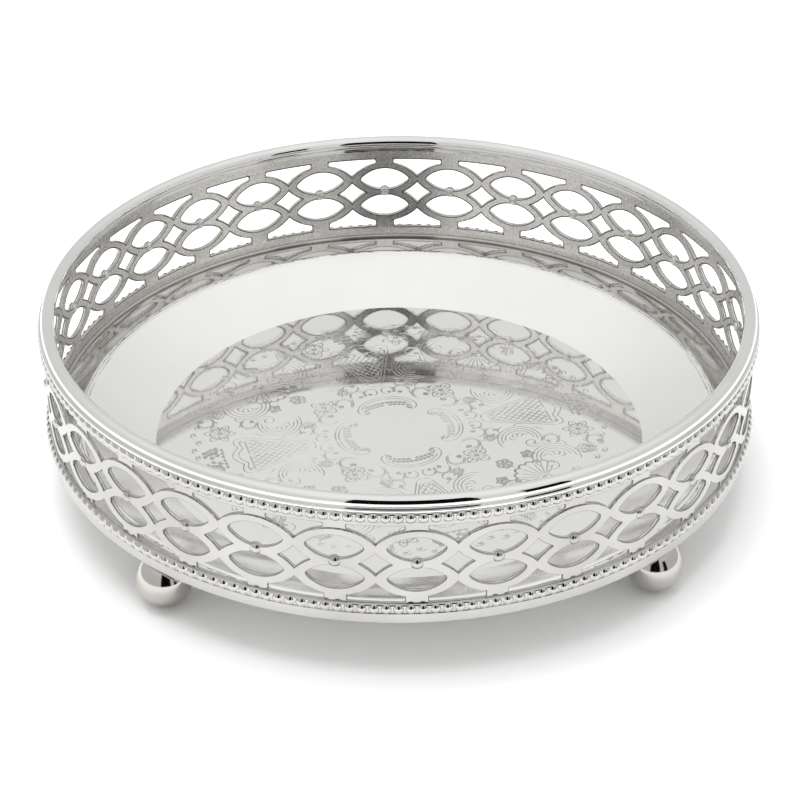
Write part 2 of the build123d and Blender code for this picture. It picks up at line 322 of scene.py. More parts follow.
def ring_outlines(u, z, inset):
    """Distances into the two rings from their outer outlines, moved in at the necks by inset."""
    left, right = -HALF_PITCH, HALF_PITCH
    top = beside_arc(u, z, (right, V_TIP_Z), (left, V_TIP_Z), V_TIP_Z - RINGS_TOP_Z + inset)
    bottom = beside_arc(u, z, (left, TRIANGLE_TIP_Z), (right, TRIANGLE_TIP_Z),
                        RINGS_BOTTOM_Z - TRIANGLE_TIP_Z + inset)
    return top, bottom


def solid_field(u, z):
    """Positive where the gallery strip has metal: the distance from its edge."""
    u = np.abs(u)
    u = np.minimum(u, PITCH - u)
    openings = []
    for middle in OVAL_MIDDLES:
        left, right = (-OVAL_HALF_WIDTH, middle), (OVAL_HALF_WIDTH, middle)
        openings.append(blend_min(beside_arc(u, z, left, right, -OVAL_HALF_HEIGHT),
                                  beside_arc(u, z, right, left, -OVAL_HALF_HEIGHT), OVAL_CORNER))
    diamond_side = (HALF_PITCH - DIAMOND_HALF_WIDTH, (DIAMOND_TOP_Z + DIAMOND_BOTTOM_Z) / 2)
    openings.append(blend_min(
        beside_arc(u, z, (HALF_PITCH, DIAMOND_TOP_Z), diamond_side, DIAMOND_BOW),
        beside_arc(u, z, diamond_side, (HALF_PITCH, DIAMOND_BOTTOM_Z), DIAMOND_BOW), CORNER))
    top, bottom = ring_outlines(u, z, 0)
    for ring, strip, beyond in ((top, OPENINGS_TOP_Z - z, z - STUD_Z),
                                (bottom, z - OPENINGS_BOTTOM_Z, STUD_Z - z)):
        opening = blend_min(blend_min(-ring, strip, CORNER), u - NECK_HALF, CORNER)
        openings.append(np.minimum(opening, beyond))
    opening = openings[0]
    for other in openings[1:]:
        opening = np.maximum(opening, other)
    return blend_max(-opening, WEB_R - np.hypot(u, z - STUD_Z), CORNER)


def raised_field(u, z):
    """Positive on the raised band, inside the outlines of the two rings of ovals."""
    u = np.abs(u)
    return np.minimum(*ring_outlines(np.minimum(u, PITCH - u), z, FLANGE))


def contour(us, zs, values, level):
    """Line segments along which a field has a level, on a grid split into triangles."""
    segments = []
    shifted = values - level
    shifted[shifted == 0] = 1e-9
    for i in range(len(us) - 1):
        for j in range(len(zs) - 1):
            if np.ptp(np.sign(shifted[i:i + 2, j:j + 2])) == 0:
                continue
            corners = [(i, j), (i + 1, j), (i + 1, j + 1), (i, j + 1)]
            for triangle in ((0, 1, 2), (0, 2, 3)):
                crossings = []
                for k in range(3):
                    a, b = corners[triangle[k]], corners[triangle[(k + 1) % 3]]
                    va, vb = shifted[a], shifted[b]
                    if (va > 0) != (vb > 0):
                        t = va / (va - vb)
                        crossings.append((us[a[0]] + t * (us[b[0]] - us[a[0]]),
                                          zs[a[1]] + t * (zs[b[1]] - zs[a[1]])))
                if len(crossings) == 2:
                    segments.append(crossings)
    return segments


def half_column():
    """Points (u, z) and metal triangles of half a column of the gallery, u from 0 to half a pitch."""
    us = np.linspace(0, HALF_PITCH, GRID_ACROSS)
    zs = np.linspace(GALLERY_BOTTOM_Z, GALLERY_TOP_Z, GRID_UP)
    grid_u, grid_z = np.meshgrid(us, zs, indexing="ij")
    solid, raised = solid_field(grid_u, grid_z), raised_field(grid_u, grid_z)
    lines = []
    for level in (0.0, EDGE_ROUND / 2, EDGE_ROUND, LINE_END):
        lines += contour(us, zs, solid.copy(), level)
    for level in (0.0, -STEP_RUN):
        for line in contour(us, zs, raised.copy(), level):
            middle = np.mean(line, axis=0)
            if solid_field(*middle) > EDGE_ROUND:
                lines.append(line)
    for k in range(BENDS + 1):
        u = HALF_PITCH * k / BENDS
        lines.append([(u, GALLERY_BOTTOM_Z), (u, GALLERY_TOP_Z)])
    for z in (GALLERY_BOTTOM_Z, GALLERY_TOP_Z):
        lines.append([(0, z), (HALF_PITCH, z)])
    points, edges = [], []
    for start, end in lines:
        edges.append((len(points), len(points) + 1))
        points += [Vector(start), Vector(end)]
    made, _, triangles, _, _, _ = delaunay_2d_cdt(points, edges, [], 0, 1e-4)
    made = np.array([tuple(p) for p in made])
    triangles = np.array(triangles)
    middle = made[triangles].mean(1)
    keep = solid_field(middle[:, 0], middle[:, 1]) > 0
    return made, triangles[keep]


def section_plan():
    """The half column mirrored and repeated over one section, with shared points welded."""
    points, triangles = half_column()
    all_points, all_triangles = [], []
    for column in range(COLUMNS_PER_SECTION):
        shift = (column - COLUMNS_PER_SECTION // 2) * PITCH
        for side in (1, -1):
            base = len(all_points) * len(points)
            moved = points * (side, 1) + (shift, 0)
            all_triangles.append((triangles if side == 1 else triangles[:, ::-1]) + base)
            all_points.append(moved)
    points = np.concatenate(all_points)
    triangles = np.concatenate(all_triangles)
    _, first, index = np.unique(np.round(points, 3), axis=0, return_index=True, return_inverse=True)
    triangles = index.reshape(-1)[triangles]
    distinct = ((triangles[:, 0] != triangles[:, 1]) & (triangles[:, 1] != triangles[:, 2])
                & (triangles[:, 2] != triangles[:, 0]))
    return points[first], triangles[distinct]


def boundary_edges(triangles):
    """Directed edges that only one triangle uses."""
    edges = np.concatenate([triangles[:, [0, 1]], triangles[:, [1, 2]], triangles[:, [2, 0]]])
    _, index, counts = np.unique(np.sort(edges, 1), axis=0, return_inverse=True, return_counts=True)
    return edges[counts[index.reshape(-1)] == 1]


def gallery_shell():
    """Vertices, faces, normals of the corners and slots of a gallery section centred on azimuth 0."""
    plan, triangles = section_plan()
    u = (plan[:, 0] + HALF_PITCH) % PITCH - HALF_PITCH
    z = plan[:, 1]
    field, lift = solid_field(u, z), raised_field(u, z)
    small = 1e-3
    slope = np.stack([(solid_field(u + small, z) - solid_field(u - small, z)),
                      (solid_field(u, z + small) - solid_field(u, z - small))], -1)
    slope /= np.linalg.norm(slope, axis=1)[:, None] + 1e-12
    inner = np.clip(field / EDGE_ROUND, 0, 1)
    dip = EDGE_ROUND * (1 - np.sqrt(1 - (1 - inner)**2))
    raised = RAISED_BAND * np.clip(1 + lift / STEP_RUN, 0, 1)
    front_r = GALLERY_OUT_R + raised - dip
    back_r = GALLERY_IN_R + BACK_EDGE * dip
    angle = plan[:, 0] / GALLERY_OUT_R
    outward = np.stack([np.sin(angle), -np.cos(angle), np.zeros_like(angle)], -1)
    along = np.stack([np.cos(angle), np.sin(angle), np.zeros_like(angle)], -1)
    up = np.array([0, 0, 1.0])

    count = len(plan)
    front = outward * front_r[:, None] + up * z[:, None]
    back = outward * back_r[:, None] + up * z[:, None]
    vertices = np.concatenate([front, back])
    edge_way = -(along * slope[:, :1] + up * slope[:, 1:])
    lean = np.sqrt(np.clip(1 - inner**2, 0, 1))
    front_normal = outward * inner[:, None] + edge_way * lean[:, None]
    back_normal = -outward * inner[:, None] + edge_way * lean[:, None]

    rim = boundary_edges(triangles)
    on_rim = np.unique(rim)
    faces = [tuple(t) for t in triangles]
    faces += [tuple(t[::-1] + count) for t in triangles]
    depths = field[triangles]   # the border line is between the rounded edge and LINE_END
    lined = ((depths.min(1) < 1.1 * EDGE_ROUND) & (depths.mean(1) > 0.7 * EDGE_ROUND)
             & (depths.max(1) < 1.1 * LINE_END))
    slots = [FACE_SLOT] * len(triangles) + [LINE_SLOT if line else BACK_SLOT for line in lined]
    place = {v: k for k, v in enumerate(on_rim)}
    rows = [lambda v: v]
    for k, share in enumerate(WALL_SPLIT):
        vertices = np.concatenate([vertices, front[on_rim] * (1 - share) + back[on_rim] * share])
        base = 2 * count + k * len(on_rim)
        rows.append(lambda v, base=base: base + place[v])
    rows.append(lambda v: v + count)
    walls = []
    for outer, inner_row, slot in zip(rows, rows[1:], (EDGE_SLOT, MIDDLE_SLOT, EDGE_SLOT)):
        walls += [(outer(b), outer(a), inner_row(a), inner_row(b)) for a, b in rim]
        slots += [slot] * len(rim)

    stepped = np.ptp(raised[triangles], axis=1) > 0.05
    normals = []
    for t, flat in zip(triangles, stepped):
        if flat:
            a, b, c = front[t]
            n = np.cross(b - a, c - a)
            normals += [n / np.linalg.norm(n)] * 3
        else:
            normals += [front_normal[i] for i in t]
    for t in triangles:
        normals += [back_normal[i] for i in t[::-1]]
    on_edge = field < EDGE_ROUND / 4
    for a, b in np.tile(rim, (3, 1)):
        if on_edge[a] and on_edge[b]:
            normals += [edge_way[b], edge_way[a], edge_way[a], edge_way[b]]
        else:
            n = np.cross(front[a] - front[b], back[a] - front[b])
            normals += [n / (np.linalg.norm(n) + 1e-12)] * 4
    return vertices, faces + walls, np.array(normals), slots


def turn_matrix(azimuth):
    """A turn about +Z, in degrees."""
    return np.array(Matrix.Rotation(math.radians(azimuth), 3, "Z"))


def build_gallery():
    """Six equal sections, in one mesh shape turned about the axis."""
    vertices, faces, normals, slots = gallery_shell()
    for k in range(SECTIONS):
        turn = turn_matrix(k * 360 / SECTIONS)
        piece = add_mesh(f"pierced_gallery_{k + 1}", vertices @ turn.T, faces, GALLERY_SLOTS, slots,
                         (normals @ turn.T).tolist())
        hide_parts(f"gallery_section_{k + 1}")


# Turned pieces and beads

def build_rim():
    """The tube along the top edge and the two stepped collars below it."""
    profile = circle(RIM_CENTRE_R, RIM_CENTRE_Z, RIM_TUBE_R, 40)
    lathe("rim_tube_polished", profile, POLISHED, 60, "rim_tube")

    low, high = node_box("rim_collar_outer")
    top_z, edge_r = high[2], high[0]
    step_r, step_z = GALLERY_OUT_R + OUTER_COLLAR_STEP_OUT, low[2] + OUTER_COLLAR_STEP_HEIGHT
    outer = [(GALLERY_OUT_R - SINK, low[2]), (step_r, low[2]), (step_r, step_z), (edge_r, step_z),
             (edge_r, top_z), (RIM_CENTRE_R + 1.5, top_z)]   # the last is inside the tube
    lathe("outer_collar_steps", rounded_profile(outer, (0, 0.2, 0.12, 0.22, 0.3, 0)),
                  POLISHED, 40, "rim_collar_outer")

    low, _ = node_box("rim_collar_inner")
    edge_r, top_z = INNER_COLLAR_EDGE_R, RIM_CENTRE_Z - 1
    step_r, step_z = edge_r + INNER_COLLAR_STEP_OUT, low[2] + INNER_COLLAR_STEP_HEIGHT
    inner = [(GALLERY_IN_R + SINK, low[2]), (GALLERY_IN_R + SINK, top_z), (edge_r, top_z),
             (edge_r, step_z), (step_r, step_z), (step_r, low[2])]
    lathe("inner_collar_steps", rounded_profile(inner, (0, 0, 0, 0.22, 0.12, 0.2)),
                  POLISHED, 40, "rim_collar_inner")


def build_base():
    """The plain band round the foot of the gallery and the wire in the corner of the ledge."""
    low_z, high_z = BASE_BAND_BOTTOM_Z, GALLERY_BOTTOM_Z
    inner_r = LEDGE_OUT_R - SINK / 2
    band = [(inner_r, low_z), (BASE_BAND_OUT_R, low_z), (BASE_BAND_OUT_R, high_z), (inner_r, high_z)]
    lathe("base_band_polished", rounded_profile(band, (0.15, 0.9, 0.45, 0), 8),
                  GALLERY_FRONT, 40, "base_band")
    low, high = node_box("ledge_wire")
    wire_r = (high[2] - low[2]) / 2
    wire = circle(high[0] - wire_r, low[2] + wire_r, wire_r, 28)
    lathe("ledge_wire_polished", wire, LEDGE_SILVER, 60, "ledge_wire")


def build_beads(name, cad_node, middle_z):
    """A row of low round beads standing on the flat wire between them."""
    centre_r = BEAD_OUT_R - BEAD_CURVE_R
    segments, rings = 20, 6
    reach = math.acos((GALLERY_OUT_R + WEB_THICKNESS - 0.05 - centre_r) / BEAD_CURVE_R)
    cap = [(0.0, 0.0, BEAD_CURVE_R)]
    for i in range(1, rings + 1):
        a = reach * i / rings
        for k in range(segments):
            t = 2 * math.pi * k / segments
            cap.append((BEAD_CURVE_R * math.sin(a) * math.cos(t),
                        BEAD_CURVE_R * math.sin(a) * math.sin(t), BEAD_CURVE_R * math.cos(a)))
    cap_faces = [(0, 1 + k, 1 + (k + 1) % segments) for k in range(segments)]
    for i in range(rings - 1):
        base = 1 + i * segments
        for k in range(segments):
            j = (k + 1) % segments
            cap_faces.append((base + k, base + segments + k, base + segments + j, base + j))
    cap = np.array(cap)
    bead = np.stack([cap[:, 0], -(centre_r + cap[:, 2]), middle_z + cap[:, 1]], -1)

    half, inner_r, outer_r = WEB_HEIGHT / 2, GALLERY_OUT_R - SINK, GALLERY_OUT_R + WEB_THICKNESS
    web = rounded_profile([(inner_r, middle_z - half), (outer_r, middle_z - half),
                           (outer_r, middle_z + half), (inner_r, middle_z + half)], (0, 0.8, 0.8, 0), 18)
    vertices, faces = lathe_mesh(web)
    parts, count = [vertices], len(vertices)
    for i in range(BEADS):
        turn = turn_matrix((i + 0.5) * 360 / BEADS)
        parts.append(bead @ turn.T)
        faces += [tuple(v + count for v in face) for face in cap_faces]
        count += len(bead)
    piece = add_mesh(name, np.concatenate(parts), faces, [BEAD_SILVER], sharp_over=50)
    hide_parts(cad_node)


def small_lathe(profile):
    """A button turned about +Z, from its rim to its middle; the last point is on the axis."""
    segments = 24
    vertices, faces = [], []
    for r, z in profile[:-1]:
        for k in range(segments):
            t = 2 * math.pi * k / segments
            vertices.append((r * math.cos(t), r * math.sin(t), z))
    for i in range(len(profile) - 2):
        for k in range(segments):
            j = (k + 1) % segments
            low, high = i * segments, (i + 1) * segments
            faces.append((low + k, low + j, high + j, high + k))
    last = (len(profile) - 2) * segments
    vertices.append((0, 0, profile[-1][1]))
    faces += [(last + k, last + (k + 1) % segments, len(vertices) - 1) for k in range(segments)]
    return np.array(vertices), faces


def build_studs():
    """A domed head outside and a rolled ring with a low button inside, at each meeting point."""
    dome_r = (STUD_HEAD_R**2 + STUD_HEAD_HEIGHT**2) / (2 * STUD_HEAD_HEIGHT)
    half = math.asin(STUD_HEAD_R / dome_r)
    dome = [(dome_r * math.sin(a), STUD_HEAD_HEIGHT - dome_r + dome_r * math.cos(a))
            for a in np.linspace(half, 0, 9)]
    head, head_faces = small_lathe([(STUD_HEAD_R, -0.15)] + dome)
    edge = 0.45                # of the rolled ring on the back of a stud
    ring = [(STUD_BACK_R - edge + edge * math.cos(a), STUD_BACK_HEIGHT * math.sin(a))
            for a in np.linspace(0, math.pi, 9)]
    back_profile = ring + [(0.8, -0.02), (0.68, 0.16), (0.4, 0.3), (0, 0.34)]
    back, back_faces = small_lathe(back_profile)
    head = np.stack([head[:, 0], -(GALLERY_OUT_R + RAISED_BAND + head[:, 2]), head[:, 1] + STUD_Z], -1)
    back = np.stack([-back[:, 0], -(GALLERY_IN_R - back[:, 2]), back[:, 1] + STUD_Z], -1)
    parts, faces, slots, count = [], [], [], 0
    for i in range(COLUMNS):
        turn = turn_matrix(i * 360 / COLUMNS)
        for points, shape, slot in ((head, head_faces, 0), (back, back_faces, 1)):
            parts.append(points @ turn.T)
            faces += [tuple(v + count for v in face) for face in shape]
            slots += [slot] * len(shape)
            count += len(points)
    piece = add_mesh("gallery_studs_domed", np.concatenate(parts), faces,
                     [GALLERY_FRONT, GALLERY_BACK], slots, sharp_over=50)
    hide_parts("gallery_studs")


def build_feet():
    """Balls, cut flat on top where the cup covers them."""
    segments, rings = 72, 48
    top_angle, worn = 78, 0.06   # elevation of the cut, and how much is worn off below
    for i in range(4):
        low, high = node_box(f"foot_ball_{i + 1}")
        centre = (low + high) / 2
        centre[2] = FOOT_BALL_R
        profile = []
        for a in np.radians(np.linspace(-90, top_angle, rings)[1:]):
            profile.append((FOOT_BALL_R * math.cos(a), max(FOOT_BALL_R * math.sin(a), worn - FOOT_BALL_R)))
        vertices, faces = lathe_mesh(profile, segments, closed=False)
        faces.append(tuple(reversed(range(segments))))
        faces.append(tuple(range((rings - 2) * segments, (rings - 1) * segments)))
        piece = add_mesh(f"ball_foot_{i + 1}", vertices + centre, faces, [FOOT_SILVER], sharp_over=40)
        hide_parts(f"foot_ball_{i + 1}")


# Dish with its engraved floor

GROOVE_HALF = 0.21         # half the width of an engraved line
GROOVE_SLOPE = 0.50        # depth over half width
STROKE_STEP = 0.8          # greatest distance between the points of a curve
PATTERN_TURN = 13.0        # degrees from the +X axis to the first lattice panel


def smooth(points):
    """A curve through a few points."""
    points = [np.array(p, float) for p in points]
    points = [2 * points[0] - points[1]] + points + [2 * points[-1] - points[-2]]
    curve = []
    for a, b, c, d in zip(points, points[1:], points[2:], points[3:]):
        steps = max(2, int(np.linalg.norm(c - b) / STROKE_STEP) + 1)
        for t in np.arange(steps) / steps:
            curve.append(0.5 * (2 * b + (c - a) * t + (2 * a - 5 * b + 4 * c - d) * t**2
                                + (3 * b - a - 3 * c + d) * t**3))
    curve.append(points[-2])
    return np.array(curve)


def polar_arc(centre, start_r, end_r, start, end):
    """An arc or spiral about a centre, angles in degrees."""
    length = math.radians(abs(end - start)) * (start_r + end_r) / 2
    count = max(4, int(length / STROKE_STEP) + 1, int(abs(end - start) / 24))
    t = np.linspace(0, 1, count)
    a, r = np.radians(start + (end - start) * t), start_r + (end_r - start_r) * t
    return np.stack([centre[0] + r * np.cos(a), centre[1] + r * np.sin(a)], -1)


def straight(start, end):
    """Points along a line."""
    count = max(2, int(math.dist(start, end) / (2 * STROKE_STEP)) + 1)
    return np.linspace(start, end, count)


def moved(strokes, centre, angle):
    """Strokes drawn about the origin, turned and then put at a centre."""
    a = math.radians(angle)
    turn = np.array([[math.cos(a), math.sin(a)], [-math.sin(a), math.cos(a)]])
    return [stroke @ turn + centre for stroke in strokes]


def polar(radius, angle):
    """A point at a radius and an angle in degrees."""
    return np.array([radius * math.cos(math.radians(angle)), radius * math.sin(math.radians(angle))])


def scroll(radius, sweep=250, lines=3, hand=1):
    """A C-scroll about the origin that starts on +X: parallel arcs, an inner curl and leaf tips."""
    strokes = []
    for i in range(lines):
        r = radius * (1 - 0.17 * i)
        strokes.append(polar_arc((0, 0), r, r * 0.9, hand * 12 * i, hand * (sweep - 14 * i)))
    curl = polar(radius * 0.55, hand * (sweep + 14))
    strokes.append(polar_arc(curl, radius * 0.36, radius * 0.1, hand * (sweep + 10), hand * (sweep + 420)))
    for k in range(4 if radius > 5 else 0):
        a = hand * (30 + k * sweep / 6)
        strokes.append(smooth([polar(radius * 0.5, a + hand * 30), polar(radius * 0.42, a),
                               polar(radius * 0.16, a - hand * 10)]))
    for k in range(3 if radius > 3 else 0):
        a = hand * (sweep * 0.28 + k * sweep / 5)
        strokes.append(smooth([polar(radius, a), polar(radius * 1.16, a + hand * 9),
                               polar(radius * 1.26, a + hand * 26)]))
    return strokes


def floret(radius, petals=4):
    """Leaves round a small eye."""
    strokes = [polar_arc((0, 0), radius * 0.16, radius * 0.16, 0, 360)]
    for k in range(petals):
        a = 360 * k / petals
        half = 150 / petals
        strokes.append(smooth([polar(radius * 0.2, a - 10), polar(radius * 0.62, a - half),
                               polar(radius * 0.86, a - half * 0.45), polar(radius, a),
                               polar(radius * 0.86, a + half * 0.45), polar(radius * 0.62, a + half),
                               polar(radius * 0.2, a + 10)]))
        strokes.append(smooth([polar(radius * 0.3, a), polar(radius * 0.55, a + 4), polar(radius * 0.8, a)]))
    return strokes


def shell(radius):
    """Ribs that fan out towards +X from the origin inside a scalloped edge."""
    ribs, spread = 11, 150
    strokes = []
    for k in range(ribs):
        a = spread * (k / (ribs - 1) - 0.5)
        reach = radius * (1 - 0.18 * abs(a) / spread * 2)
        strokes.append(smooth([polar(radius * 0.22, a * 0.8), polar(reach * 0.6, a * 0.96),
                               polar(reach * 0.9, a)]))
        if k:
            middle = a - spread / (ribs - 1) / 2
            lobe = reach * math.radians(spread / (ribs - 1)) / 2
            strokes.append(polar_arc(polar(reach * 0.97, middle), lobe, lobe, middle - 95, middle + 95))
    strokes.append(polar_arc((0, 0), radius * 0.2, radius * 0.12, -130, 200))
    return strokes


def spray(length, leaves=5):
    """A stem along +X with serrated leaves on both sides."""
    strokes = [smooth([(0, 0), (length * 0.5, length * 0.05), (length, 0)])]
    for k in range(leaves):
        x = length * (0.12 + 0.8 * k / leaves)
        size = length * (0.42 - 0.05 * k)
        for side in (1, -1):
            strokes.append(smooth([(x, 0), (x + size * 0.3, side * size * 0.55),
                                   (x + size * 0.75, side * size * 0.75),
                                   (x + size * 0.55, side * size * 0.35),
                                   (x + size * 0.2, side * size * 0.06)]))
    return strokes


def bracket():
    """Half of the double-lined bracket round the plain middle, with its curl and scallops."""
    strokes = [
        smooth([(23.2, 0), (22.9, 3.2), (21.7, 6.6), (19.3, 9.6), (16.3, 10.9), (13.9, 10.1),
                (13.3, 8.3), (14.4, 7.2), (15.7, 7.8), (15.4, 9.0), (14.6, 8.8)]),
        smooth([(22.0, 0), (21.7, 2.9), (20.6, 5.9), (18.5, 8.5), (16.8, 9.3)])]
    for row, x in enumerate((19.4, 17.9)):
        for k in range(5):
            y = 0.75 + 1.55 * k + 0.77 * row
            centre = (x - 0.03 * y**2, y)
            strokes.append(polar_arc(centre, 0.62, 0.62, -100, 190))
    return strokes


def lattice_panel():
    """Half of a tapering panel filled with a diamond mesh."""
    strokes = [
        smooth([(31.0, 0), (31.1, 1.2), (31.6, 2.5)]), straight((31.6, 2.5), (56.2, 11.4)),
        smooth([(56.2, 11.4), (58.6, 10.2), (59.0, 7.6), (58.2, 5.4), (60.0, 3.0), (61.4, 0)]),
        straight((33.4, 1.9), (55.4, 9.9)),
        smooth([(55.4, 9.9), (57.0, 8.8), (56.9, 6.6), (56.6, 4.6), (58.2, 2.4), (59.0, 0)]),
        straight((33.4, 1.9), (33.4, 0)), straight((55.0, 9.7), (55.0, 0))]
    start, end = np.array([33.4, 1.9]), np.array([55.0, 9.75])
    run, rise = 2.9, 2.35      # of a mesh diamond, half its length and width
    for k in range(-12, 22):
        x = 33.4 + run * k
        for way in (1, -1):
            # the mesh line y = way * (x - x0) * rise / run, kept inside the panel
            slope = way * rise / run
            line = np.linspace(33.4, 55.0, 120)
            y = (line - x) * slope
            edge = start[1] + (line - start[0]) * (end[1] - start[1]) / (end[0] - start[0])
            inside = (y > -0.4) & (y < edge)
            if inside.sum() > 3:
                strokes.append(straight((line[inside][0], y[inside][0]), (line[inside][-1], y[inside][-1])))
    return strokes


def quarter():
    """Strokes of half a quarter (y up to the diagonal), in millimetres from the plate's centre."""
    strokes = bracket() + lattice_panel()
    strokes += moved(scroll(2.4, 300, 1), (27.6, 3.2), 200)
    strokes += moved(scroll(3.1, 250, 2, -1), (27.0, 8.2), 120)
    strokes += moved(scroll(3.6, 260, 2), (22.6, 14.6), 210)
    strokes += moved(floret(5.2), polar(31.5, 45), 45)
    strokes += moved(scroll(8.3, 235, 3), (40.5, 16.6), 155)
    strokes += moved(scroll(3.0, 270, 1), (32.2, 9.6), 30)
    strokes += moved(shell(11.5), polar(60.0, 45), 225)
    strokes += moved(floret(3.0, 5), polar(42.5, 45), 20)
    strokes += moved(scroll(9.0, 240, 3, -1), (49.0, 31.0), 20)
    strokes += moved(floret(5.6, 6), polar(64.5, 14.4), 14)
    strokes += moved(spray(9.0), polar(63.0, 25.5), 18)
    strokes += moved(spray(7.5, 4), polar(64.8, 36.0), 62)
    strokes += moved(scroll(3.4, 280, 2), polar(70.2, 20.0), 100)
    strokes += moved(scroll(3.2, 280, 2, -1), polar(54.5, 20.8), 80)
    strokes += moved(spray(6.5, 4), polar(30.6, 27.5), -20)
    strokes += moved(scroll(2.8, 260, 1), polar(69.8, 41.5), 10)
    strokes += moved(spray(6.0, 4), polar(65.4, 5.5), -24)
    strokes += moved(floret(2.6, 5), polar(47.8, 33.5), 0)
    for row, radius in enumerate((63.6, 65.8, 68.0, 70.2)):
        for k in range(3 - row // 2):
            strokes.append(polar_arc(polar(radius, 1.1 + 1.9 * k + (row % 2)), 1.05, 1.05, -80, 80))
    for k in range(12):
        angle = 2.2 + 3.8 * k
        reach = 72.2 + 1.1 * math.sin(k * 2.4)
        strokes.append(polar_arc(polar(reach, angle), 1.9, 1.5, angle - 75, angle + 85))
        strokes.append(smooth([polar(reach - 0.6, angle - 0.6), polar(reach + 0.9, angle + 0.2),
                               polar(reach - 0.4, angle + 1.0)]))
    return strokes


def wedge_strokes():
    """Every stroke that reaches the wedge between a panel's axis and the diagonal."""
    near = []
    base = quarter()
    mirrored = [stroke * (1, -1) for stroke in base]
    diagonal = [stroke[:, ::-1] for stroke in base]
    for stroke in base + mirrored + diagonal:
        angle = np.degrees(np.arctan2(stroke[:, 1], stroke[:, 0]))
        radius = np.hypot(stroke[:, 0], stroke[:, 1])
        slack = np.degrees(1.5 / np.maximum(radius, 1))
        if ((angle > -slack) & (angle < 45 + slack)).any():
            near.append(stroke)
    return near


def groove(stroke):
    """Half width and sideways direction along a stroke, which starts and ends in a point."""
    step = np.linalg.norm(np.diff(stroke, axis=0), axis=1)
    along = np.concatenate([[0], np.cumsum(step)])
    taper = 0.9                # length over which the end of a line narrows
    width = GROOVE_HALF * np.clip(np.minimum(along, along[-1] - along) / taper, 0.12, 1)
    way = np.gradient(stroke, axis=0)
    way /= np.linalg.norm(way, axis=1)[:, None] + 1e-12
    side = np.stack([-way[:, 1], way[:, 0]], -1)
    return width, side


def engraved_wedge():
    """Points (x, y, z) and triangles of one eighth of the dish floor."""
    strokes = [s for s in wedge_strokes() if len(s) > 1 and np.linalg.norm(s[-1] - s[0]) + len(s) > 2]
    points, edges, samples, widths = [], [], [], []

    def add_line(line):
        base = len(points)
        points.extend(Vector(p) for p in line)
        edges.extend((base + i, base + i + 1) for i in range(len(line) - 1))

    for stroke in strokes:
        width, side = groove(stroke)
        for offset in (0, 1, -1):
            add_line(stroke + side * width[:, None] * offset)
        fine = np.linspace(0, len(stroke) - 1, (len(stroke) - 1) * 6 + 1)
        index = np.arange(len(stroke))
        samples.append(np.stack([np.interp(fine, index, stroke[:, 0]),
                                 np.interp(fine, index, stroke[:, 1])], -1))
        widths.append(np.interp(fine, index, width))
    eighth = SEGMENTS // 8
    add_line([polar(FLOOR_R, 45 * i / eighth) for i in range(eighth + 1)])
    add_line([polar(r, 0) for r in np.linspace(0, FLOOR_R, 40)])
    add_line([polar(r, 45) for r in np.linspace(0, FLOOR_R, 40)])
    for radius in (16.0, 80.0):
        add_line([polar(radius, 45 * i / 15) for i in range(16)])
    made, _, triangles, _, _, _ = delaunay_2d_cdt(points, edges, [], 0, 1e-4)
    made, triangles = np.array([tuple(p) for p in made]), np.array(triangles)
    middle = made[triangles].mean(1)
    angle = np.degrees(np.arctan2(middle[:, 1], middle[:, 0]))
    area = np.abs(np.cross(made[triangles[:, 1]] - made[triangles[:, 0]],
                           made[triangles[:, 2]] - made[triangles[:, 0]])) / 2
    keep = (angle > 0) & (angle < 45) & (np.hypot(middle[:, 0], middle[:, 1]) < FLOOR_R) & (area > 1e-6)
    triangles = triangles[keep]
    used, triangles = np.unique(triangles, return_inverse=True)
    made, triangles = made[used], triangles.reshape(-1, 3)
    samples, widths = np.concatenate(samples), np.concatenate(widths)
    drop = np.zeros(len(made))   # how far inside an engraved line each point lies
    at_once = 400
    for start in range(0, len(made), at_once):
        block = made[start:start + at_once]
        away = np.hypot(block[:, None, 0] - samples[None, :, 0], block[:, None, 1] - samples[None, :, 1])
        drop[start:start + at_once] = np.clip(widths[None, :] - away, 0, None).max(1)
    engraved = drop[triangles].max(1) > 1e-3
    return np.column_stack([made, FLOOR_TOP_Z - GROOVE_SLOPE * drop]), triangles, engraved


COVE_ROWS, SHOULDER_ROWS, LEDGE_ROWS = 21, 11, 4   # rows of faces along the upper side
DISH_SLOTS = (DISH_SILVER, ENGRAVED, LEDGE_SILVER, COVE_SILVER)


